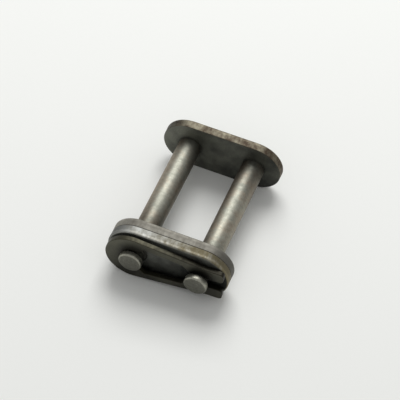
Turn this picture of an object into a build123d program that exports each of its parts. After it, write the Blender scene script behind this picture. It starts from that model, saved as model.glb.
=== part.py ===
# Connecting link for a two-strand roller chain, put together as it is sold: one riveted plate carrying
# both pins, a middle plate and a cover plate that slip over the pins, and a spring clip in the pin grooves.
# Millimetres. X runs along the chain from pin A to pin B, Y along the pins towards the riveted plate, Z up.
# The link stands on the straight lower edges of its plates. The origin is on that surface, midway between
# the two pins and midway along them.
from build123d import *
from math import acos, atan2, cos, degrees, hypot, radians, sin, sqrt
import os

os.makedirs("parts", exist_ok=True)

# Chain sizes
pitch = 12.7  # between the two pin axes
strand_spacing = 13.92  # centre to centre of the two strands
strand_room = 11.3  # width that one strand takes between plates

# Plates, punched from strip
plate_height = 10.8
plate_thickness = 1.75
plate_slack = 0.06  # between the middle plate and the cover plate it has been pushed up to
die_roll = 0.3  # edge radius on the side that the punch entered
edge_break = 0.12  # bevel left by tumbling on the other side
hole_break = 0.15  # bevel at both mouths of a pin hole

# Pins, pressed and riveted at one end, grooved at the other
pin_diameter = 4.45
press_interference = 0.01  # radial, in the riveted plate
slip_clearance = 0.05  # radial, in the two loose plates
rivet_height = 0.7
rivet_diameter = 5.1
rivet_bevel = 0.35  # cone left round the rivet head by the spinning tool
groove_diameter = 3.4
groove_relief = 0.1  # bevel at both corners of the groove floor
groove_play = 0.05  # between the lifted clip and the pin's head
head_length = 1.1
head_chamfer = 0.35
head_back_chamfer = 0.1

# Spring clip, stamped from flat spring strip and sprung in a little askew
clip_thickness = 1.0
clip_gap = 0.04  # between the cover plate and the clip's tips
clip_lift = 0.62  # how much further the closed end stands off the cover plate
clip_end_radius = 5.2  # outside of the closed end, about pin A
clip_waist = 7.2  # outside, across the narrowest place
clip_waist_reach = 1.6  # narrowest place beyond the axis of pin B
clip_tip_height = 7.1  # outside, across the flared tips
clip_tip_reach = 4.75  # tips beyond the axis of pin B
clip_tip_radius = 0.7
clip_arm_width = 1.4
clip_neck = 2.4  # opening between the tips
clip_seat_clearance = 0.08  # radial, round the groove floor
clip_seat_wrap = 75  # where each shoulder leaves the seat round pin A, degrees from the clip's axis
clip_shoulder = 45  # slope of the shoulders beside the seats, degrees
clip_inner_radius = 0.3
clip_edge = 0.12  # bevel left by tumbling

# Places that follow
between_plates = strand_spacing + strand_room  # inner faces of the riveted plate and the cover plate
pin_radius = pin_diameter / 2
groove_radius = groove_diameter / 2
plate_radius = plate_height / 2
axis_height = plate_radius
clip_length = clip_end_radius + pitch + clip_tip_reach
clip_slope = clip_lift / clip_length
clip_stand_a = clip_gap + clip_slope * (pitch + clip_tip_reach)  # clip off the cover plate at pin A
groove_width = clip_stand_a + clip_slope * pin_radius + clip_thickness + groove_play
pin_length = rivet_height + 2 * plate_thickness + between_plates + groove_width + head_length
pin_end = pin_length / 2  # riveted end; the other end is as far the other way
riveted_face = pin_end - rivet_height  # outer face of the riveted plate
cover_inner = riveted_face - plate_thickness - between_plates
cover_face = cover_inner - plate_thickness  # outer face of the cover plate
middle_face = cover_inner + plate_slack  # face of the middle plate next to the cover plate
print("pin length", round(pin_length, 2), "groove width", round(groove_width, 2))


def across(y):
    """Plane square to the pins at y, seen from the clip's side, with its origin level with the pins."""
    return Plane(origin=(0, y, axis_height), x_dir=(1, 0, 0), z_dir=(0, -1, 0))


def link_plate(clip_side, hole_radius, rolled_side):
    """Obround plate with two pin holes. clip_side is its face nearer the clip; rolled_side is 1 if that
    face has the rolled edge, and -1 if the other one has."""
    with BuildPart() as plate:
        with BuildSketch(across(clip_side)):
            SlotCenterToCenter(pitch, plate_height)
            with GridLocations(pitch, 0, 2, 1):
                Circle(hole_radius, mode=Mode.SUBTRACT)
        extrude(amount=-plate_thickness)
        rolled_face = plate.faces().sort_by(Axis.Y)[0 if rolled_side > 0 else -1]
        cut_face = plate.faces().sort_by(Axis.Y)[-1 if rolled_side > 0 else 0]
        holes = plate.edges().filter_by(GeomType.CIRCLE)
        holes = holes.filter_by(lambda e: abs(e.radius - hole_radius) < edge_break)
        fillet(rolled_face.outer_wire().edges(), min(die_roll, plate_thickness / 3))
        chamfer(cut_face.outer_wire().edges(), min(edge_break, plate_thickness / 3))
        chamfer(holes, min(hole_break, plate_thickness / 3))
    return plate


def link_pin(x):
    """Turned pin with its axis at x: spun rivet head, journal, clip groove and chamfered head."""
    groove_start = cover_face
    groove_stop = groove_start - groove_width
    rivet_radius = rivet_diameter / 2
    with BuildPart() as pin:
        with BuildSketch(Plane(origin=(x, 0, axis_height), x_dir=(1, 0, 0), z_dir=(0, 0, 1))) as profile:
            with BuildLine():
                Polyline(
                    (0, pin_end),
                    (rivet_radius, pin_end),
                    (rivet_radius, riveted_face),
                    (pin_radius, riveted_face),
                    (pin_radius, groove_start),
                    (groove_radius, groove_start),
                    (groove_radius, groove_stop),
                    (pin_radius, groove_stop),
                    (pin_radius, -pin_end),
                    (0, -pin_end),
                    close=True,
                )
            make_face()

            def corner(radius, y):
                return profile.vertices().sort_by_distance((radius, y))[0]

            chamfer(corner(rivet_radius, pin_end), min(rivet_bevel, 0.9 * rivet_height))
            chamfer([corner(groove_radius, y) for y in (groove_start, groove_stop)], groove_relief)
            chamfer(corner(pin_radius, groove_stop), head_back_chamfer)
            chamfer(corner(pin_radius, -pin_end), head_chamfer)
        revolve(axis=Axis((x, 0, axis_height), (0, 1, 0)))
    return pin


def clip_half(seat_radius):
    """Upper half of the clip's outline, on the clip's own axis with pin A at its origin."""
    waist = (pitch + clip_waist_reach, clip_waist / 2)
    tip = pitch + clip_tip_reach
    half_neck = clip_neck / 2
    # The straight flank touches the closed end where its normal points, and the arm keeps its width.
    normal = atan2(waist[1], waist[0]) + acos(clip_end_radius / hypot(*waist))
    flank_start = (clip_end_radius * cos(normal), clip_end_radius * sin(normal))

    def to_arm(start, angle):
        """Point where a shoulder leaving start at angle meets the inner edge of the arm."""
        along = (cos(angle), sin(angle))
        inside = clip_end_radius - clip_arm_width - start[0] * cos(normal) - start[1] * sin(normal)
        length = inside / (along[0] * cos(normal) + along[1] * sin(normal))
        return (start[0] + length * along[0], start[1] + length * along[1])

    wrap = radians(clip_seat_wrap)
    nib = sqrt(seat_radius**2 - half_neck**2)  # the neck meets the seat this far from pin B's axis
    seat_a = (seat_radius * cos(wrap), seat_radius * sin(wrap))
    shoulder_a = to_arm(seat_a, radians(clip_shoulder))
    nib_near = (pitch - nib - clip_inner_radius, half_neck)
    shoulder_b = to_arm(nib_near, radians(180 - clip_shoulder))
    with BuildSketch() as half:
        with BuildLine():
            CenterArc((0, 0), clip_end_radius, 180, degrees(normal) - 180)
            Polyline(flank_start, waist, (tip, clip_tip_height / 2), (tip, half_neck))
            Line((tip, half_neck), (pitch + nib, half_neck))
            ThreePointArc((pitch + nib, half_neck), (pitch, seat_radius), (pitch - nib, half_neck))
            Polyline((pitch - nib, half_neck), nib_near, shoulder_b, shoulder_a, seat_a)
            CenterArc((0, 0), seat_radius, clip_seat_wrap, 180 - clip_seat_wrap)
            Line((-seat_radius, 0), (-clip_end_radius, 0))
        make_face()
        points = half.vertices()
        ends = points.filter_by(lambda v: abs(v.X - tip) < clip_edge)
        fillet(ends, clip_tip_radius)
        inner = points.filter_by(lambda v: any(hypot(v.X - q[0], v.Y - q[1]) < clip_edge
                                               for q in (seat_a, shoulder_a, shoulder_b)))
        fillet(inner, clip_inner_radius)
    return half


# The riveted plate, rolled edge outwards
pin_plate = link_plate(riveted_face - plate_thickness, pin_radius - press_interference, -1)
pin_plate.part.label = "pin_plate"

# The two pins
pin_a = link_pin(-pitch / 2)
pin_a.part.label = "pin_a"
pin_b = link_pin(pitch / 2)
pin_b.part.label = "pin_b"

# The two loose plates, slip fit on the pins, with their sharper edges together
middle_plate = link_plate(middle_face, pin_radius + slip_clearance, -1)
middle_plate.part.label = "middle_plate"
cover_plate = link_plate(cover_face, pin_radius + slip_clearance, 1)
cover_plate.part.label = "cover_plate"

# The spring clip, its closed end round pin A and its tips past pin B
clip_origin = (-pitch / 2, cover_face - clip_stand_a, axis_height)
clip_plane = Plane(origin=clip_origin, x_dir=(1, clip_slope, 0), z_dir=(clip_slope, -1, 0))
half_outline = clip_half(groove_radius + clip_seat_clearance)
with BuildPart() as spring_clip:
    with BuildSketch(clip_plane):
        add(half_outline.sketch)
        mirror(about=Plane.XZ)
    extrude(amount=clip_thickness)
    flat_faces = spring_clip.faces().sort_by(Axis.Y)
    chamfer(flat_faces[0].edges() + flat_faces[-1].edges(), clip_edge)
spring_clip.part.label = "spring_clip"

for piece in (pin_plate, pin_a, pin_b, middle_plate, cover_plate, spring_clip):
    export_step(piece.part, f"parts/{piece.part.label}.step")
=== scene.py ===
from math import acos, atan, atan2, cos, degrees, hypot, pi, radians, sin, sqrt, tan

import bmesh
import bpy
from mathutils import Matrix, Vector


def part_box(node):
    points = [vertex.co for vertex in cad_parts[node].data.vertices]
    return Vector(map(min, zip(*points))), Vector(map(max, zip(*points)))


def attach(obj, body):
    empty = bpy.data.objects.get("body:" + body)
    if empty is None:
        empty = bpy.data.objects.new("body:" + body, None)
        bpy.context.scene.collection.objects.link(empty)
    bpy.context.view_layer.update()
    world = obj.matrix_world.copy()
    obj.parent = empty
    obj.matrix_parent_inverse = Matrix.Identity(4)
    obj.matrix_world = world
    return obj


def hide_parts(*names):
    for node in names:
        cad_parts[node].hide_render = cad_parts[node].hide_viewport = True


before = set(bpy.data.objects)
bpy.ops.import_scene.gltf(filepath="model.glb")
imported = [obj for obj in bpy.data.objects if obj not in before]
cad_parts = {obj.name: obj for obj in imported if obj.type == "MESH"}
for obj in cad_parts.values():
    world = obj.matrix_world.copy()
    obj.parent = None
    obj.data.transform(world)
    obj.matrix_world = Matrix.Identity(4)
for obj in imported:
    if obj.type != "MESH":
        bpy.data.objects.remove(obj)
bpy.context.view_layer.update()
toMetres = 0.001  # pieces are drawn in millimetres and scaled once, at the end of their trees
print("frame loaded:", sorted(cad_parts))

link = {  # sizes that several pieces share, in millimetres
    "pitch": 12.7,  # between the axes of pin A, at -X, and pin B, at +X
    "axisHeight": 5.4,  # of both axes above the floor
}


def linearColour(hexValue):
    parts = [int(hexValue[i:i + 2], 16) / 255 for i in (1, 3, 5)]
    return [p / 12.92 if p <= 0.04045 else ((p + 0.055) / 1.055) ** 2.4 for p in parts] + [1.0]


def addNode(tree, kind, links=None, **settings):
    # a link is another node (its first live output), one of its sockets, or a plain value
    node = tree.nodes.new(kind)
    for name, value in settings.items():
        setattr(node, name, value)
    for name, source in (links or {}).items():
        socket = node.inputs[name] if isinstance(name, int) else next(
            s for s in node.inputs if s.enabled and s.name == name)
        if isinstance(source, bpy.types.Node):
            source = next(s for s in source.outputs if s.enabled)
        if isinstance(source, bpy.types.NodeSocket):
            tree.links.new(source, socket)
        else:
            socket.default_value = source
    return node


# Outlines

def arcPoints(x, y, radius, start, end, step):
    # angles in degrees, and each point has a third number, 0, so that it also serves as a sharp corner
    pieces = max(2, round(abs(end - start) / step))
    angles = [radians(start + (end - start) * k / pieces) for k in range(pieces + 1)]
    return [(x + radius * cos(a), y + radius * sin(a), 0) for a in angles]


def roundedPath(corners, closed, step):
    # a corner is (x, y, radius), and a radius above 0 becomes an arc
    tooClose = 1e-4
    points = []
    count = len(corners)
    for i, (x, y, radius) in enumerate(corners):
        if radius <= 0 or (not closed and i in (0, count - 1)):
            points.append((x, y))
            continue
        here = Vector((x, y))
        before = (Vector(corners[i - 1][:2]) - here).normalized()
        after = (Vector(corners[(i + 1) % count][:2]) - here).normalized()
        half = acos(max(-1.0, min(1.0, before.dot(after)))) / 2
        centre = here + (before + after).normalized() * radius / sin(half)
        start = here + before * radius / tan(half) - centre
        turn = degrees(pi - 2 * half)
        if before.x * after.y - before.y * after.x > 0:
            turn = -turn
        first = degrees(atan2(start.y, start.x))
        points += [p[:2] for p in arcPoints(centre.x, centre.y, radius, first, first + turn, step)]
    return [p for i, p in enumerate(points) if (not closed and i == 0)
            or hypot(p[0] - points[i - 1][0], p[1] - points[i - 1][1]) > tooClose]


def drawn(name, paths, closed=True):
    # flat curves in the XY plane, in millimetres
    data = bpy.data.curves.new(name, "CURVE")
    data.dimensions = "3D"
    for path in paths:
        line = data.splines.new("POLY")
        line.points.add(len(path) - 1)
        for point, place in zip(line.points, path):
            point.co = (place[0], place[1], 0, 1)
        line.use_cyclic_u = closed
    piece = bpy.data.objects.new(name, data)
    bpy.context.scene.collection.objects.link(piece)
    return piece


# Geometry trees

sharpAngle = 30  # degrees between two faces, from which their edge stays sharp
weldDistance = 0.002  # millimetres, as the next one is
axisRadius = 0.0005  # of the circle that a turned profile is carried round


def startTree(name, inputs):
    tree = bpy.data.node_groups.new(name, "GeometryNodeTree")
    tree.interface.new_socket("Geometry", in_out="INPUT", socket_type="NodeSocketGeometry")
    for label, kind in inputs.items():
        tree.interface.new_socket(label, in_out="INPUT", socket_type="NodeSocket" + kind)
    tree.interface.new_socket("Geometry", in_out="OUTPUT", socket_type="NodeSocketGeometry")
    return tree, tree.nodes.new("NodeGroupInput").outputs


def endTree(tree, shape, given):
    # puts the drawn shape in its place, smooths all but its sharp edges, and ends in plain faces
    placed = addNode(tree, "GeometryNodeTransform", {
        "Geometry": shape, "Rotation": given["Turn"], "Translation": given["Place"]})
    small = addNode(tree, "GeometryNodeTransform", {"Geometry": placed, "Scale": (toMetres,) * 3})
    angle = addNode(tree, "GeometryNodeInputMeshEdgeAngle")
    soft = addNode(tree, "FunctionNodeCompare", {
        "A": angle.outputs["Unsigned Angle"], "B": radians(sharpAngle)},
        data_type="FLOAT", operation="LESS_THAN")
    faces = addNode(tree, "GeometryNodeSetShadeSmooth", {
        "Geometry": small, "Shade Smooth": True}, domain="FACE")
    edges = addNode(tree, "GeometryNodeSetShadeSmooth", {
        "Geometry": faces, "Shade Smooth": soft}, domain="EDGE")
    real = addNode(tree, "GeometryNodeRealizeInstances", {"Geometry": edges})
    dressed = addNode(tree, "GeometryNodeSetMaterial", {"Geometry": real, "Material": given["Material"]})
    addNode(tree, "NodeGroupOutput", {"Geometry": dressed})


def makeStampedBlank():
    # the outline and the holes carry walls with a drawn edge, and the two faces are filled between them;
    # the walls remember whether hands reach them, and how far each point lies from the back face
    tree, given = startTree("stampedBlank", {
        "Edge": "Object", "Holes": "Object", "Hole edge": "Object", "Thickness": "Float",
        "Turn": "Vector", "Place": "Vector", "Material": "Material"})
    spot = addNode(tree, "GeometryNodeInputPosition")
    axes = addNode(tree, "ShaderNodeSeparateXYZ", {"Vector": spot})
    depth = addNode(tree, "ShaderNodeMath", {0: axes.outputs["Y"], 1: -1.0}, operation="MULTIPLY")
    walls = addNode(tree, "GeometryNodeJoinGeometry")
    for path, edge in ((given["Geometry"], "Edge"), (given["Holes"], "Hole edge")):
        if edge == "Hole edge":
            path = addNode(tree, "GeometryNodeObjectInfo", {"Object": path}).outputs["Geometry"]
        drawnEdge = addNode(tree, "GeometryNodeObjectInfo", {"Object": given[edge]}).outputs["Geometry"]
        touched = addNode(tree, "GeometryNodeStoreNamedAttribute", {
            "Geometry": drawnEdge, "Name": "handled", "Value": 1.0 if edge == "Edge" else 0.0},
            data_type="FLOAT", domain="POINT")
        measured = addNode(tree, "GeometryNodeStoreNamedAttribute", {
            "Geometry": touched, "Name": "depth", "Value": depth}, data_type="FLOAT", domain="POINT")
        upright = addNode(tree, "GeometryNodeSetCurveNormal", {"Curve": path}, mode="Z_UP")
        wall = addNode(tree, "GeometryNodeCurveToMesh", {"Curve": upright, "Profile Curve": measured})
        tree.links.new(wall.outputs["Mesh"], walls.inputs["Geometry"])
    beside = addNode(tree, "GeometryNodeInputMeshEdgeNeighbors")
    rim = addNode(tree, "FunctionNodeCompare", {"A": beside, "B": 1}, data_type="INT", operation="EQUAL")
    middle = addNode(tree, "ShaderNodeMath", {0: given["Thickness"], 1: 0.5}, operation="MULTIPLY")
    lift = addNode(tree, "ShaderNodeCombineXYZ", {"Z": given["Thickness"]})
    whole = addNode(tree, "GeometryNodeJoinGeometry")
    tree.links.new(walls.outputs["Geometry"], whole.inputs["Geometry"])
    for side in ("LESS_THAN", "GREATER_THAN"):
        level = addNode(tree, "FunctionNodeCompare", {"A": axes.outputs["Z"], "B": middle},
                        data_type="FLOAT", operation=side)
        both = addNode(tree, "FunctionNodeBooleanMath", {0: rim, 1: level}, operation="AND")
        loops = addNode(tree, "GeometryNodeMeshToCurve", {"Mesh": walls, "Selection": both})
        face = addNode(tree, "GeometryNodeFillCurve", {"Curve": loops}, mode="TRIANGLES")
        if side == "GREATER_THAN":
            face = addNode(tree, "GeometryNodeTransform", {"Geometry": face, "Translation": lift})
        tree.links.new(next(s for s in face.outputs if s.enabled), whole.inputs["Geometry"])
    welded = addNode(tree, "GeometryNodeMergeByDistance", {"Geometry": whole, "Distance": weldDistance})
    endTree(tree, welded, given)
    return tree


def makeTurnedPiece():
    # the profile (radius, length) is carried round a circle so small that the ends close on the axis
    tree, given = startTree("turnedPiece", {
        "Facets": "Int", "Turn": "Vector", "Place": "Vector", "Material": "Material"})
    core = addNode(tree, "GeometryNodeCurvePrimitiveCircle", {
        "Resolution": given["Facets"], "Radius": axisRadius})
    upright = addNode(tree, "GeometryNodeSetCurveNormal", {"Curve": core.outputs["Curve"]}, mode="Z_UP")
    skin = addNode(tree, "GeometryNodeCurveToMesh", {
        "Curve": upright, "Profile Curve": given["Geometry"]})
    welded = addNode(tree, "GeometryNodeMergeByDistance", {"Geometry": skin, "Distance": weldDistance})
    endTree(tree, welded, given)
    return tree


def finishPiece(name, source, tree, values, spent=()):
    # runs a tree on the drawn curve, keeps the result as a plain mesh and clears the spent curves away
    modifier = source.modifiers.new(name, "NODES")
    modifier.node_group = tree
    for item in tree.interface.items_tree:
        if item.in_out == "INPUT" and item.name in values:
            modifier[item.identifier] = values[item.name]
    graph = bpy.context.evaluated_depsgraph_get()
    mesh = bpy.data.meshes.new_from_object(source.evaluated_get(graph))
    mesh.name = name
    source.modifiers.remove(modifier)
    for used in (source, *spent):
        bpy.data.objects.remove(used)
    shell = bmesh.new()
    shell.from_mesh(mesh)
    bmesh.ops.recalc_face_normals(shell, faces=shell.faces)
    openEdges = sum(not e.is_manifold for e in shell.edges)
    shell.to_mesh(mesh)
    shell.free()
    piece = bpy.data.objects.new(name, mesh)
    bpy.context.scene.collection.objects.link(piece)
    print("  made", name, len(mesh.polygons), "faces, open edges", openEdges)
    return piece


# Materials

def startMaterial(name):
    material = bpy.data.materials.new(name)
    material.use_nodes = True
    tree = material.node_tree
    return material, tree, tree.nodes["Principled BSDF"], addNode(tree, "ShaderNodeTexCoord")


# the sizes of marks are in millimetres, and a noise texture's scale is 1000 over that size
noiseRange = (0.3, 0.7)  # nearly all of a noise texture lies between these
leanPerMetre = 100  # a lean is given for 10 mm
stampedFinish = {  # what the finish of every stamped piece has in common, beside the looks of its own
    "rimTilt": (0.995, 0.8),  # a surface starts to be rim, and is all rim, where its normal's Y is this
    "streakShare": 0.4,  # of the rubbed places that follow fine streaks, and the rest follow blotches
    "streakStretch": 0.45,  # streaks and shear marks run through the thickness
    "shearStretch": 0.08,
    "raggedness": 0.5,  # how many millimetres the streaks move the line between sheared and torn metal
    "tornBlend": (0.15, 0.35),  # one tone gives way to the other between these, with the streaks added
    "endTilt": (0.2, 0.8),  # a rounded end starts, and is complete, where its normal's X is this
    "filmRange": (0.25, 0.75),  # values of the film noise that are all dark and all light
    "pinShadeFrom": 2.2,  # painted shade round the pins is darkest up to this far from a pin's axis
    "gritTones": (0.87, 1.13),
    "polish": 0.08,  # rubbed places are this much smoother, and the others this much rougher
    "markDepth": 0.02,
}


def tumbledSteel(name, look):
    # Carbon steel strip, blanked, hardened, tumbled and oiled: flat faces nearly black, and edges that the
    # tumbling and handling have rubbed to bare grey in blotches, with fine marks through the thickness
    finish = stampedFinish
    material, tree, shader, coords = startMaterial(name)
    place = coords.outputs["Object"]
    tilt = addNode(tree, "ShaderNodeSeparateXYZ", {"Vector": coords.outputs["Normal"]})
    facing = addNode(tree, "ShaderNodeMath", {0: tilt.outputs["Y"]}, operation="ABSOLUTE")
    steep = addNode(tree, "ShaderNodeMapRange", {
        "Value": facing, "From Min": finish["rimTilt"][0], "From Max": finish["rimTilt"][1],
        "To Min": 0.0, "To Max": 1.0}, interpolation_type="SMOOTHSTEP")
    handled = addNode(tree, "ShaderNodeAttribute", attribute_name="handled")  # 0 in the pin holes
    rim = addNode(tree, "ShaderNodeMath", {0: steep, 1: handled.outputs["Fac"]}, operation="MULTIPLY")

    # the rim: rubbed bare in blotches and streaks, with painted light laid along a lean, another tone where
    # the metal tore, and painted light and shade on the rounded ends
    short = addNode(tree, "ShaderNodeMapping", {
        "Vector": place, "Scale": (1.0, finish["streakStretch"], 1.0)})
    blotch = addNode(tree, "ShaderNodeTexNoise", {
        "Vector": place, "Scale": 1000 / look["blotchSize"], "Detail": 4.0, "Roughness": 0.6})
    streak = addNode(tree, "ShaderNodeTexNoise", {
        "Vector": short, "Scale": 1000 / look["streakSize"], "Detail": 3.0, "Roughness": 0.6})
    rubbed = addNode(tree, "ShaderNodeMix", {
        "Factor": finish["streakShare"], "A": blotch, "B": streak}, data_type="FLOAT")
    spread = addNode(tree, "ShaderNodeVectorMath", {
        0: place, 1: (0.0, 0.0, link["axisHeight"] * toMetres)}, operation="SUBTRACT")
    # painted light: the rims get lighter along a lean, as the lamp falls on them
    paintedRimLight = addNode(tree, "ShaderNodeVectorMath", {
        0: spread, 1: [leanPerMetre * share for share in look["rimLightLean"]]}, operation="DOT_PRODUCT")
    wornAndLit = addNode(tree, "ShaderNodeMath", {0: rubbed, 1: paintedRimLight.outputs["Value"]}, operation="ADD")
    bare = addNode(tree, "ShaderNodeMapRange", {
        "Value": wornAndLit, "From Min": 0.5 - look["wearSoftness"], "From Max": 0.5 + look["wearSoftness"],
        "To Min": 0.0, "To Max": 1.0})
    rubbedColour = addNode(tree, "ShaderNodeMix", {
        "Factor": bare, "A": linearColour(look["rimDark"]), "B": linearColour(look["rimBare"])},
        data_type="RGBA")
    depth = addNode(tree, "ShaderNodeAttribute", attribute_name="depth")  # millimetres from the back face
    ragged = addNode(tree, "ShaderNodeMath", {
        0: streak, 1: finish["raggedness"], 2: depth.outputs["Fac"]}, operation="MULTIPLY_ADD")
    torn = addNode(tree, "ShaderNodeMapRange", {
        "Value": ragged, "From Min": look["tornFrom"] + finish["tornBlend"][0],
        "From Max": look["tornFrom"] + finish["tornBlend"][1],
        "To Min": look["tornTones"][0], "To Max": look["tornTones"][1]}, interpolation_type="SMOOTHSTEP")
    # painted light and shade: each rounded end gets its own tone by how far its normal turns to -X and +X
    leftEnd, rightEnd = [addNode(tree, "ShaderNodeMapRange", {
        "Value": tilt.outputs["X"], "From Min": side * finish["endTilt"][0],
        "From Max": side * finish["endTilt"][1], "To Min": 1.0, "To Max": endTone},
        interpolation_type="SMOOTHSTEP") for side, endTone in zip((-1, 1), look["endLightTones"])]
    ends = addNode(tree, "ShaderNodeMath", {0: leftEnd, 1: rightEnd}, operation="MULTIPLY")
    rimTone = addNode(tree, "ShaderNodeMath", {0: torn, 1: ends}, operation="MULTIPLY")
    rimColour = addNode(tree, "ShaderNodeVectorMath", {
        0: rubbedColour.outputs[2], "Scale": rimTone}, operation="SCALE")

    # the faces: a cloudy film of oxide and oil, with painted shade along a lean and round the pins, and a
    # fine grain
    film = addNode(tree, "ShaderNodeTexNoise", {
        "Vector": place, "Scale": 1000 / look["filmSize"], "Detail": 3.0, "Roughness": 0.55})
    # painted shade: the faces get darker along a lean, mostly towards the bottom, where shade falls
    paintedFaceShade = addNode(tree, "ShaderNodeVectorMath", {
        0: spread, 1: [leanPerMetre * share for share in look["faceShadeLean"]]}, operation="DOT_PRODUCT")
    filmAndShade = addNode(tree, "ShaderNodeMath", {0: film, 1: paintedFaceShade.outputs["Value"]}, operation="ADD")
    filmAndShadeShare = addNode(tree, "ShaderNodeMapRange", {
        "Value": filmAndShade, "From Min": finish["filmRange"][0], "From Max": finish["filmRange"][1],
        "To Min": 0.0, "To Max": 1.0})
    faceColour = addNode(tree, "ShaderNodeMix", {
        "Factor": filmAndShadeShare, "A": linearColour(look["faceDark"]), "B": linearColour(look["faceLight"])},
        data_type="RGBA")
    flat = addNode(tree, "ShaderNodeMapping", {"Vector": place, "Scale": (1.0, 0.0, 1.0)})
    axes = [(side * link["pitch"] / 2, 0, link["axisHeight"]) for side in (-1, 1)]
    # painted shade round the pins, darkest near their axes
    nearA, nearB = [addNode(tree, "ShaderNodeVectorMath", {
        0: flat, 1: [(centre + shift) * toMetres for centre, shift in zip(axis, look["pinShadeShift"])]},
        operation="DISTANCE").outputs["Value"] for axis in axes]
    farther = addNode(tree, "ShaderNodeMath", {0: nearB, 1: look["pinShadeLessAtB"] * toMetres}, operation="ADD")
    nearPin = addNode(tree, "ShaderNodeMath", {0: nearA, 1: farther}, operation="MINIMUM")
    pinShade = addNode(tree, "ShaderNodeMapRange", {
        "Value": nearPin, "From Min": finish["pinShadeFrom"] * toMetres,
        "From Max": look["pinShadeReach"] * toMetres, "To Min": look["pinShadeTone"], "To Max": 1.0},
        interpolation_type="SMOOTHSTEP")
    grit = addNode(tree, "ShaderNodeTexNoise", {
        "Vector": place, "Scale": 1000 / look["gritSize"], "Detail": 2.0})
    grain = addNode(tree, "ShaderNodeMapRange", {
        "Value": grit, "From Min": noiseRange[0], "From Max": noiseRange[1],
        "To Min": finish["gritTones"][0], "To Max": finish["gritTones"][1]})
    faceTone = addNode(tree, "ShaderNodeMath", {0: pinShade, 1: grain}, operation="MULTIPLY")
    shadedFace = addNode(tree, "ShaderNodeVectorMath", {
        0: faceColour.outputs[2], "Scale": faceTone}, operation="SCALE")
    colour = addNode(tree, "ShaderNodeMix", {
        "Factor": rim, "A": shadedFace, "B": rimColour}, data_type="RGBA")
    tree.links.new(colour.outputs[2], shader.inputs["Base Color"])
    shader.inputs["Metallic"].default_value = look["metal"]

    # gloss and small marks: rubbed metal is smoother, and the rims carry the shear marks of the punch
    polish = addNode(tree, "ShaderNodeMapRange", {
        "Value": rubbed, "From Min": noiseRange[0], "From Max": noiseRange[1],
        "To Min": finish["polish"], "To Max": -finish["polish"]})
    rough = addNode(tree, "ShaderNodeMix", {
        "Factor": rim, "A": look["roughness"], "B": look["rimRoughness"]}, data_type="FLOAT")
    uneven = addNode(tree, "ShaderNodeMath", {0: rough, 1: polish}, operation="ADD")
    tree.links.new(uneven.outputs[0], shader.inputs["Roughness"])
    across = addNode(tree, "ShaderNodeMapping", {
        "Vector": place, "Scale": (1.0, finish["shearStretch"], 1.0)})
    shear = addNode(tree, "ShaderNodeTexNoise", {
        "Vector": across, "Scale": 1000 / look["shearSize"], "Detail": 3.0})
    marks = addNode(tree, "ShaderNodeMix", {"Factor": rim, "A": grit, "B": shear}, data_type="FLOAT")
    bump = addNode(tree, "ShaderNodeBump", {
        "Strength": look["bump"], "Distance": finish["markDepth"] * toMetres, "Height": marks})
    tree.links.new(bump.outputs["Normal"], shader.inputs["Normal"])
    return material


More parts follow.
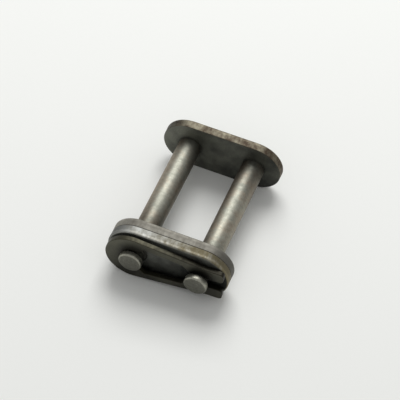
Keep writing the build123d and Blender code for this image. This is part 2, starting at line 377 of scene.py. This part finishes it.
def groundSteel(name, look):
    # Case-hardened steel bar, turned, centreless ground between the plates and left as turned at both
    # ends: bright with fine rings along the journal, dull grey and finely pitted at the heads and grooves
    material, tree, shader, coords = startMaterial(name)
    place = coords.outputs["Object"]
    along = addNode(tree, "ShaderNodeSeparateXYZ", {"Vector": place})
    tilt = addNode(tree, "ShaderNodeSeparateXYZ", {"Vector": coords.outputs["Normal"]})
    reach = addNode(tree, "ShaderNodeMath", {0: along.outputs["Y"]}, operation="ABSOLUTE")
    turned = addNode(tree, "ShaderNodeMapRange", {
        "Value": reach, "From Min": look["groundReach"] * toMetres,
        "From Max": (look["groundReach"] + look["finishBlend"]) * toMetres, "To Min": 0.0, "To Max": 1.0})

    # the ground length: stained warmer down both flanks, speckled, darker towards the plates, and with
    # painted shade on the flanks that face the other pin
    stain = addNode(tree, "ShaderNodeTexNoise", {
        "Vector": place, "Scale": 1000 / look["stainSize"], "Detail": 6.0, "Roughness": 0.7})
    leftFlank, rightFlank = [
        addNode(tree, "ShaderNodeMath", {0: tilt.outputs["X"], 1: share}, operation="MULTIPLY")
        for share in look["flankStain"]]
    lower = addNode(tree, "ShaderNodeMath", {0: leftFlank, 1: rightFlank}, operation="MINIMUM")
    flankStain = addNode(tree, "ShaderNodeMath", {0: lower, 1: stain}, operation="ADD")
    tone = addNode(tree, "ShaderNodeMapRange", {
        "Value": flankStain, "From Min": look["stainRange"][0], "From Max": look["stainRange"][1],
        "To Min": 0.0, "To Max": 1.0})
    ground = addNode(tree, "ShaderNodeMix", {
        "Factor": tone, "A": linearColour(look["warm"]), "B": linearColour(look["cool"])}, data_type="RGBA")
    reached = addNode(tree, "ShaderNodeVectorMath", {
        0: place, 1: (look["brightSkew"], 1.0, 0.0)}, operation="DOT_PRODUCT")
    offset = addNode(tree, "ShaderNodeMath", {
        0: reached.outputs["Value"], 1: look["brightMiddle"] * toMetres}, operation="SUBTRACT")
    fromMiddle = addNode(tree, "ShaderNodeMath", {0: offset}, operation="ABSOLUTE")
    beside = addNode(tree, "ShaderNodeMapRange", {
        "Value": fromMiddle, "From Min": look["dimReach"][0] * toMetres,
        "From Max": look["dimReach"][1] * toMetres, "To Min": 1.0, "To Max": look["dimBesidePlates"]})
    # painted shade on the flanks that face the other pin
    turnedIn = addNode(tree, "ShaderNodeMath", {
        0: along.outputs["X"], 1: tilt.outputs["X"]}, operation="MULTIPLY")
    inner = addNode(tree, "ShaderNodeMapRange", {
        "Value": turnedIn, "From Min": -look["innerShadeReach"][0] * toMetres,
        "From Max": -look["innerShadeReach"][1] * toMetres, "To Min": look["innerFlankShade"], "To Max": 1.0})
    dimAndShaded = addNode(tree, "ShaderNodeMath", {0: beside, 1: inner}, operation="MULTIPLY")
    specks = addNode(tree, "ShaderNodeTexNoise", {
        "Vector": place, "Scale": 1000 / look["speckSize"], "Detail": 4.0, "Roughness": 0.7})
    speckled = addNode(tree, "ShaderNodeMapRange", {
        "Value": specks, "From Min": noiseRange[0], "From Max": noiseRange[1],
        "To Min": look["speckTones"][0], "To Max": look["speckTones"][1]})
    dimmed = addNode(tree, "ShaderNodeMath", {0: dimAndShaded, 1: speckled}, operation="MULTIPLY")
    groundDimmed = addNode(tree, "ShaderNodeVectorMath", {
        0: ground.outputs[2], "Scale": dimmed}, operation="SCALE")

    # the turned ends: pitted and clouded, black with oil and painted shade in the groove, a little worn at
    # the heads' edges, and with a painted highlight on their upper edges
    pits = addNode(tree, "ShaderNodeTexNoise", {
        "Vector": place, "Scale": 1000 / look["pitSize"], "Detail": 3.0})
    dull = addNode(tree, "ShaderNodeMix", {
        "Factor": pits, "A": linearColour(look["headDark"]), "B": linearColour(look["headLight"])},
        data_type="RGBA")
    # oil and painted shade in the groove, which lies in a recess
    outside = addNode(tree, "ShaderNodeMapRange", {
        "Value": reach, "From Min": look["grooveReach"] * toMetres,
        "From Max": (look["grooveReach"] + look["finishBlend"]) * toMetres,
        "To Min": look["grooveOilShade"], "To Max": 1.0})
    facing = addNode(tree, "ShaderNodeMath", {0: tilt.outputs["Y"]}, operation="ABSOLUTE")
    edge = addNode(tree, "ShaderNodeMapRange", {
        "Value": facing, "From Min": look["edgeTilt"][0], "From Max": look["edgeTilt"][1],
        "To Min": 0.0, "To Max": 1.0}, interpolation_type="SMOOTHSTEP")
    # painted highlight: the heads' edges get brighter the more their normal turns up
    upper = addNode(tree, "ShaderNodeMapRange", {
        "Value": tilt.outputs["Z"], "From Min": look["upperTilt"][0], "From Max": look["upperTilt"][1],
        "To Min": look["edgeWearAndHighlight"][0], "To Max": look["edgeWearAndHighlight"][1]})
    rubbed = addNode(tree, "ShaderNodeMath", {0: edge, 1: upper, 2: 1.0}, operation="MULTIPLY_ADD")
    bright = addNode(tree, "ShaderNodeMath", {0: outside, 1: rubbed}, operation="MULTIPLY")
    cloud = addNode(tree, "ShaderNodeMapRange", {
        "Value": specks, "From Min": noiseRange[0], "From Max": noiseRange[1],
        "To Min": look["cloudTones"][0], "To Max": look["cloudTones"][1]})
    clouded = addNode(tree, "ShaderNodeMath", {0: bright, 1: cloud}, operation="MULTIPLY")
    turnedEndColour = addNode(tree, "ShaderNodeVectorMath", {0: dull.outputs[2], "Scale": clouded}, operation="SCALE")
    colour = addNode(tree, "ShaderNodeMix", {"Factor": turned, "A": groundDimmed, "B": turnedEndColour}, data_type="RGBA")
    tree.links.new(colour.outputs[2], shader.inputs["Base Color"])
    shader.inputs["Metallic"].default_value = 1.0

    # gloss and small marks: grinding rings along the journal, pits at the ends
    rings = addNode(tree, "ShaderNodeMapping", {
        "Vector": place, "Scale": (look["ringStretch"], 1.0, look["ringStretch"])})
    lines = addNode(tree, "ShaderNodeTexNoise", {
        "Vector": rings, "Scale": 1000 / look["ringSpacing"], "Detail": 3.0})
    mottle = addNode(tree, "ShaderNodeMix", {"Factor": 0.5, "A": lines, "B": stain}, data_type="FLOAT")
    sheen = addNode(tree, "ShaderNodeMapRange", {
        "Value": mottle, "From Min": look["sheenRange"][0], "From Max": look["sheenRange"][1],
        "To Min": look["roughness"] - look["sheenChange"],
        "To Max": look["roughness"] + look["sheenChange"]})
    rough = addNode(tree, "ShaderNodeMix", {
        "Factor": turned, "A": sheen, "B": look["headRoughness"]}, data_type="FLOAT")
    tree.links.new(rough.outputs[0], shader.inputs["Roughness"])
    marks = addNode(tree, "ShaderNodeMix", {"Factor": turned, "A": lines, "B": pits}, data_type="FLOAT")
    bump = addNode(tree, "ShaderNodeBump", {
        "Strength": look["bump"], "Distance": look["markDepth"] * toMetres, "Height": marks})
    tree.links.new(bump.outputs["Normal"], shader.inputs["Normal"])
    return material


# Camera

cameraView = {
    "lens": 204.9,
    "sensor": 36,
    "place": (78.120, -240.539, 339.925),  # millimetres
    "right": (0.92766, 0.36976, 0.05213),
    "up": (-0.32407, 0.72783, 0.60436),
    "seesFrom": 0.01,  # metres
    "seesTo": 20,
}


def placeCamera(view):
    right = Vector(view["right"]).normalized()
    back = right.cross(Vector(view["up"])).normalized()
    up = back.cross(right)
    data = bpy.data.cameras.new("mainCamera")
    data.lens = view["lens"]
    data.sensor_width = view["sensor"]
    data.clip_start, data.clip_end = view["seesFrom"], view["seesTo"]
    camera = bpy.data.objects.new("mainCamera", data)
    turn = Matrix((right, up, back)).transposed().to_4x4()
    camera.matrix_world = Matrix.Translation(Vector(view["place"]) * toMetres) @ turn
    bpy.context.scene.collection.objects.link(camera)
    bpy.context.scene.camera = camera


placeCamera(cameraView)
print("camera placed")


# Studio: a pale floor, one soft lamp high behind the far left of the link, and even light from the room

studio = {
    "floor": "#ecedea",
    "floorShade": 0.985,  # how dark the fibres are against the rest of the floor
    "fibreSize": 0.6,
    "floorGloss": 0.2,
    "floorRoughness": 0.9,
    "floorReach": 3.0,  # metres each way, and the lamp's size and places are in metres too
    "room": "#d8d8d8",
    "roomLight": 0.74,
    "keyPower": 1.8,
    "keySize": 0.30,
    "keyPlace": (-0.085, 0.29, 0.40),
    "keyAim": (0, 0, 0.005),
}


def addKeyLamp(look):
    data = bpy.data.lights.new("keyLamp", "AREA")
    data.shape = "SQUARE"
    data.size = look["keySize"]
    data.energy = look["keyPower"]
    lamp = bpy.data.objects.new("keyLamp", data)
    lamp.location = look["keyPlace"]
    aim = Vector(look["keyAim"]) - Vector(look["keyPlace"])
    lamp.rotation_euler = aim.to_track_quat("-Z", "Y").to_euler()
    bpy.context.scene.collection.objects.link(lamp)


def buildStudio(look):
    material, tree, shader, coords = startMaterial("matPaper")  # matt card: no gloss, hardly any texture
    fibre = addNode(tree, "ShaderNodeTexNoise", {
        "Vector": coords.outputs["Object"], "Scale": 1000 / look["fibreSize"], "Detail": 4.0})
    base = linearColour(look["floor"])
    tone = addNode(tree, "ShaderNodeMix", {
        "Factor": fibre, "A": [c * look["floorShade"] for c in base[:3]] + [1], "B": base},
        data_type="RGBA")
    tree.links.new(tone.outputs[2], shader.inputs["Base Color"])
    shader.inputs["Roughness"].default_value = look["floorRoughness"]
    shader.inputs["Specular IOR Level"].default_value = look["floorGloss"]
    reach = look["floorReach"]
    mesh = bpy.data.meshes.new("floor")
    corners = [(-reach, -reach, 0), (reach, -reach, 0), (reach, reach, 0), (-reach, reach, 0)]
    mesh.from_pydata(corners, [], [(0, 1, 2, 3)])
    mesh.materials.append(material)
    floor = bpy.data.objects.new("floor", mesh)
    bpy.context.scene.collection.objects.link(floor)
    addKeyLamp(look)
    world = bpy.data.worlds.new("room")
    world.use_nodes = True
    bpy.context.scene.world = world
    sky = world.node_tree.nodes["Background"]
    sky.inputs["Color"].default_value = linearColour(look["room"])
    sky.inputs["Strength"].default_value = look["roomLight"]


buildStudio(studio)
print("studio lit")


# Plates

stampedBlank = makeStampedBlank()
turnedPiece = makeTurnedPiece()
standing = (pi / 2, 0, 0)  # the drawn faces stand across the pins, seen from the clip's side

# sizes are in millimetres, and a step is the angle, in degrees, between two points of an arc
plate = {
    "height": 10.8,
    "outlineStep": 3,
    "holeStep": 5,
    "roll": 0.3,  # rounded edge on the side that the punch entered
    "rollStep": 11.25,
    "edgeBreak": 0.06,
    "breakStep": 22.5,
    "tornShare": 0.62,  # share of the thickness that tore ahead of the punch
    "fracture": 0.03,  # the torn part of the edge stands back a little from the sheared part
    "land": 0.55,  # width of the flat ring between an edge and the filled face
    "blotchSize": 2.2,
    "streakSize": 0.5,
    "wearSoftness": 0.2,
    "filmSize": 3.5,
    "shearSize": 0.22,
    "gritSize": 0.2,
    "roughness": 0.48,
    "rimRoughness": 0.58,
    "metal": 0.8,  # the rest is oxide and oil, which the light enters
    "pinShadeReach": 3.2,  # painted shade darkens the faces this far from a pin's axis
    "pinShadeLessAtB": 0.0,  # how much less far they reach at pin B
    "pinShadeShift": (0, 0, 0),
    "pinShadeTone": 0.7,
    "bump": 0.35,
}

# a lean is how much lighter the steel is painted over 10 mm along each axis, as painted light on the rims
# and painted shade on the faces; the line between sheared and torn metal lies at tornFrom from the back
# face, with one tone behind it and one before it; and the end tones are painted light and shade on the
# rounded ends at -X and +X
plateKinds = {
    "rivetedPlate": {
        "node": "pin_plate", "steel": "tumbledSteelRiveted", "rolledFront": False,
        "holeRadius": 2.22, "holeBreak": 0.07,  # the press fit closes the mouths of the holes
        "faceDark": "#3a3b37", "faceLight": "#707167", "faceShadeLean": (-0.12, 0, 0.2),
        "rimDark": "#483d31", "rimBare": "#7b7666", "rimLightLean": (-0.03, 0, -0.04),
        "wearSoftness": 0.11, "pinShadeLessAtB": 0.8,
        "tornFrom": 0.67, "tornTones": (1.05, 0.9), "endLightTones": (0.36, 1.1)},
    "middlePlate": {
        "node": "middle_plate", "steel": "tumbledSteelMiddle", "rolledFront": False,
        "holeRadius": 2.275, "holeBreak": 0.15,
        "faceDark": "#3d3d39", "faceLight": "#4b4a44", "faceShadeLean": (0, 0, 0),
        "rimDark": "#69665e", "rimBare": "#88867e", "rimLightLean": (0.0, 0, -0.1),
        "tornFrom": 0.67, "tornTones": (1.05, 0.9), "endLightTones": (1.4, 0.6)},
    "coverPlate": {
        "node": "cover_plate", "steel": "tumbledSteelCover", "rolledFront": True,
        "holeRadius": 2.275, "holeBreak": 0.15,
        "faceDark": "#21221f", "faceLight": "#6b6c66", "faceShadeLean": (-0.5, 0, 0.9),
        "rimDark": "#665f4a", "rimBare": "#9fa09c", "rimLightLean": (-0.2, 0, -0.06),
        "tornFrom": 1.08, "tornTones": (0.8, 1.12), "endLightTones": (0.45, 1.2)},
}


def stampedEdge(look, thickness, roll, breakSize, fracture, outward):
    # cross-section of a punched edge as (distance into the metal, depth), from the back face to the front;
    # the shares below only space out its points between the corners
    land = look["land"]
    torn = thickness * look["tornShare"]
    breakEnd = breakSize * 1.3
    points = [(land, 0), (land * 0.5 + breakSize * 0.5, 0), (breakEnd, 0)]
    points += roundedPath([(breakEnd, 0, 0), (fracture, 0, breakSize), (fracture, thickness * 0.3, 0)],
                          False, look["breakStep"])[1:]
    points += [(fracture * 0.8, torn * 0.85), (0, torn)]
    points += roundedPath([(0, torn, 0), (0, thickness, roll), (land * 0.7 + roll * 0.4, thickness, 0)],
                          False, look["rollStep"])[1:]
    points += [(land, thickness)]
    if not look["rolledFront"]:
        points = [(into, thickness - depth) for into, depth in reversed(points)]
    return [((into if outward else -into), -depth) for into, depth in points]


def makePlate(name, look):
    low, high = [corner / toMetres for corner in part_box(look["node"])]
    thickness = high.y - low.y
    half = link["pitch"] / 2
    radius = look["height"] / 2
    step = look["outlineStep"]
    outline = arcPoints(half, 0, radius, -90, 90, step) + arcPoints(-half, 0, radius, 90, 270, step)
    holes = [arcPoints(x, 0, look["holeRadius"], 0, 360, look["holeStep"])[:-1] for x in (-half, half)]
    rimEdge = stampedEdge(look, thickness, look["roll"], look["edgeBreak"], look["fracture"], False)
    holeEdge = stampedEdge(look, thickness, look["holeBreak"], look["holeBreak"], 0.0, True)
    edge = drawn(name + "Edge", [rimEdge], False)
    mouth = drawn(name + "Mouth", [holeEdge], False)
    cut = drawn(name + "Holes", holes)
    return finishPiece(name, drawn(name, [outline]), stampedBlank, {
        "Edge": edge, "Holes": cut, "Hole edge": mouth, "Thickness": thickness, "Turn": standing,
        "Place": (0, high.y, (low.z + high.z) / 2), "Material": tumbledSteel(look["steel"], look)},
        (edge, cut, mouth))


plates = {name: makePlate(name, {**plate, **own}) for name, own in plateKinds.items()}
print("plates made")


# Pins

pin = {
    "facets": 128,
    "roundStep": 15,
    "radius": 2.225,
    "rivetRadius": 2.55,
    "rivetHeight": 0.7,
    "rivetRound": 0.42,
    "rivetBack": 0.05,  # rounding of the head's underside, which stands off the plate by the gap
    "rivetGap": 0.02,
    "spunRing": 1.35,  # ring that the riveting tool leaves in the head
    "spunWidth": 0.24,
    "spunDepth": 0.14,
    "spunMiddle": 0.3,  # share of that depth by which the middle of the head lies low
    "spunRounds": (0.15, 0.08),  # beside the ring, and on its floor
    "shoulderRound": 0.06,
    "grooveRadius": 1.7,
    "grooveRound": 0.1,
    "headLength": 1.1,
    "headBack": 0.08,
    "headRound": 0.36,
    "centreSpot": 0.45,  # point on the flat end that keeps its shading even
    "groundReach": 13.3,  # ground this far each way from the middle of the pin
    "grooveReach": 14.9,  # the groove lies between that and this, and the head beyond it
    "finishBlend": 0.05,  # length over which one finish gives way to the next
    "ringSpacing": 0.12,  # coarser than real grinding marks, so that the rings show
    "ringStretch": 0.05,
    "stainSize": 3.0,
    "stainRange": (0.24, 0.5),  # values of the stain noise that are all warm and all cool
    "flankStain": (0.3, -0.14),  # how far the warm stain takes the left flank, and the right one
    "warm": "#968c7d",
    "cool": "#949489",
    "brightMiddle": 1.2,  # middle of the length that shows between the plates
    "brightSkew": 0.25,  # the brightest stretch lies nearer the riveted plate on pin A than on pin B
    "dimReach": (4.5, 11.0),  # how far from there the pin begins to darken, and where it is darkest
    "dimBesidePlates": 0.5,  # share of the colour left where the pin is darkest, beside the plates
    "innerFlankShade": 0.6,  # share left by painted shade on the flanks that face the other pin
    "innerShadeReach": (4.3, 2.4),  # these are full, and begin, where X times the normal's X is minus this
    "speckSize": 0.7,
    "speckTones": (0.8, 1.16),
    "pitSize": 0.32,
    "headDark": "#56544b",
    "headLight": "#797971",
    "cloudTones": (0.85, 1.15),
    "grooveOilShade": 0.35,  # oil and painted shade in the groove
    "edgeWearAndHighlight": (0.2, 1.6),  # how much brighter the heads' edges are, below and above: a little wear, and a painted highlight on the upper ones
    "edgeTilt": (0.99, 0.85),  # an edge begins, and is complete, where its normal's Y is this
    "upperTilt": (-0.3, 0.6),  # it counts as below, and as above, where its normal's Z is this
    "sheenRange": (0.35, 0.65),
    "sheenChange": 0.1,
    "roughness": 0.52,
    "headRoughness": 0.42,
    "bump": 0.08,
    "markDepth": 0.01,
}


def makePin(name, node, material):
    low, high = [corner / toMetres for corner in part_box(node)]
    underHead = high.y - pin["rivetHeight"] + pin["rivetGap"]
    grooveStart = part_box("cover_plate")[0].y / toMetres
    grooveStop = low.y + pin["headLength"]
    ring, width = pin["spunRing"], pin["spunWidth"]
    middle = high.y - pin["spunDepth"] * pin["spunMiddle"]
    besideRing, ringFloor = pin["spunRounds"]
    corners = [
        (0, middle, 0),
        (ring - width, middle, besideRing),
        (ring, high.y - pin["spunDepth"], ringFloor),
        (ring + width, high.y, besideRing),
        (pin["rivetRadius"], high.y, pin["rivetRound"]),
        (pin["rivetRadius"], underHead, pin["rivetBack"]),
        (pin["radius"], underHead, 0),
        (pin["radius"], grooveStart, pin["shoulderRound"]),
        (pin["grooveRadius"], grooveStart, pin["grooveRound"]),
        (pin["grooveRadius"], grooveStop, pin["grooveRound"]),
        (pin["radius"], grooveStop, pin["headBack"]),
        (pin["radius"], low.y, pin["headRound"]),
        (pin["centreSpot"], low.y, 0),
        (0, low.y, 0),
    ]
    profile = drawn(name, [roundedPath(corners, False, pin["roundStep"])], False)
    return finishPiece(name, profile, turnedPiece, {
        "Facets": pin["facets"], "Turn": standing, "Material": material,
        "Place": ((low.x + high.x) / 2, 0, (low.z + high.z) / 2)})


pinSteel = groundSteel("groundPinSteel", pin)
pinA = makePin("pinA", "pin_a", pinSteel)
pinB = makePin("pinB", "pin_b", pinSteel)
print("pins made")


# Spring clip, stamped from strip, its closed end round pin A

clip = {
    "thickness": 1.0,
    "slope": 0.02737,
    "standA": 0.5177,  # its inner face off the cover plate, at pin A
    "endRadius": 5.2,
    "endStep": 3,
    "waist": (14.3, 3.6),
    "waistRound": 6.0,
    "tip": (17.45, 3.55),
    "tipRadius": 0.7,
    "neck": 1.2,  # half of the opening between the tips
    "nibWidth": 0.3,  # of the flat between the seat round pin B and its shoulder
    "nibRound": 0.2,
    "seatRadius": 1.78,
    "seatWrap": 75,  # degrees from the clip's axis to where a shoulder leaves the seat round pin A
    "seatSteps": (7.5, 7),
    "shoulderSlope": 45,
    "armWidth": 1.4,
    "innerRadius": 0.3,
    "cornerStep": 10,
    "round": 0.12,
    "roundStart": 1.15,  # the rounding has a point on the face this many times its radius in
    "roundStep": 18,
    "land": 0.17,
    "blotchSize": 1.6,
    "streakSize": 0.6,
    "wearSoftness": 0.16,
    "rimLightLean": (-0.22, 0, -0.05),
    "filmSize": 4.5,
    "faceShadeLean": (0.0, 0, 0.42),
    "shearSize": 0.2,
    "gritSize": 0.12,
    "roughness": 0.4,
    "rimRoughness": 0.45,
    "metal": 0.8,
    "tornFrom": 0.5, "tornTones": (0.95, 1.0), "endLightTones": (1.0, 1.0),
    "pinShadeReach": 4.5,  # painted shade round the pin heads lies up and to the right of the pins
    "pinShadeShift": (0.6, 0, 0.9),
    "pinShadeTone": 0.2,
    "pinShadeLessAtB": 0.5,
    "bump": 0.3,
    "faceDark": "#2b2a23", "faceLight": "#545347", "rimDark": "#24221a", "rimBare": "#3c3a2e",
}


def clipOutline():
    # half of the outline on the clip's own axis, with pin A at its origin, and then its mirror image
    pitch = link["pitch"]
    endRadius, seat, neck = clip["endRadius"], clip["seatRadius"], clip["neck"]
    normal = atan2(clip["waist"][1], clip["waist"][0]) + acos(endRadius / hypot(*clip["waist"]))
    out = Vector((cos(normal), sin(normal)))

    def toArm(start, angle):
        # where a shoulder that leaves start at angle meets the inner edge of the arm
        along = Vector((cos(angle), sin(angle)))
        inside = endRadius - clip["armWidth"] - Vector(start).dot(out)
        return Vector(start) + along * inside / along.dot(out)

    wrap = clip["seatWrap"]
    seatA = (seat * cos(radians(wrap)), seat * sin(radians(wrap)))
    nib = sqrt(seat ** 2 - neck ** 2)
    nibNear = (pitch - nib - clip["nibWidth"], neck)
    shoulderA = toArm(seatA, radians(clip["shoulderSlope"]))
    shoulderB = toArm(nibNear, radians(180 - clip["shoulderSlope"]))
    mouth = degrees(atan2(neck, nib))
    tipX, tipRadius = clip["tip"][0], clip["tipRadius"]
    nibRound, inner = clip["nibRound"], clip["innerRadius"]
    stepA, stepB = clip["seatSteps"]
    half = arcPoints(0, 0, endRadius, 180, degrees(normal), clip["endStep"])
    half += [(*clip["waist"], clip["waistRound"]), (*clip["tip"], tipRadius), (tipX, neck, tipRadius)]
    seatB = arcPoints(pitch, 0, seat, mouth, 180 - mouth, stepB)
    half += [(*seatB[0][:2], nibRound)] + seatB[1:-1] + [(*seatB[-1][:2], nibRound)]
    half += [(*nibNear, nibRound), (*shoulderB, inner), (*shoulderA, inner), (*seatA, inner)]
    half += arcPoints(0, 0, seat, wrap, 180, stepA)[1:]
    lower = [(x, -y, r) for x, y, r in half]
    upper = list(reversed(half))[1:-1]
    return roundedPath(lower + upper, True, clip["cornerStep"])


def makeClip(material):
    low, high = [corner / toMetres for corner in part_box("spring_clip")]
    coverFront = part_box("cover_plate")[0].y / toMetres
    land, deep, rounding = clip["land"], clip["thickness"], clip["round"]
    flatEnd = rounding * clip["roundStart"]
    corners = [(land, 0, 0), (flatEnd, 0, 0), (0, 0, rounding),
               (0, deep, rounding), (flatEnd, deep, 0), (land, deep, 0)]
    section = roundedPath(corners, False, clip["roundStep"])
    edge = drawn("clipEdge", [[(-x, -y) for x, y in section]], False)
    nothing = drawn("clipHoles", [])
    return finishPiece("springClip", drawn("clip", [clipOutline()]), stampedBlank, {
        "Edge": edge, "Holes": nothing, "Hole edge": edge, "Thickness": deep,
        "Turn": (pi / 2, 0, atan(clip["slope"])),
        "Place": (-link["pitch"] / 2, coverFront - clip["standA"], (low.z + high.z) / 2),
        "Material": material}, (edge, nothing))


springClip = makeClip(tumbledSteel("springStripSteel", clip))
print("clip made")


# What each piece rides on, and the solid that it stands for

parts = {
    "pin_plate": (plates["rivetedPlate"], "riveted_link"),
    "pin_a": (pinA, "riveted_link"),
    "pin_b": (pinB, "riveted_link"),
    "middle_plate": (plates["middlePlate"], "middle"),
    "cover_plate": (plates["coverPlate"], "cover"),
    "spring_clip": (springClip, "riveted_link"),
}
for node, (piece, body) in parts.items():
    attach(piece, body)
    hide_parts(node)

scene = bpy.context.scene
scene.view_settings.view_transform = "Standard"
print("pieces ride on their bodies")
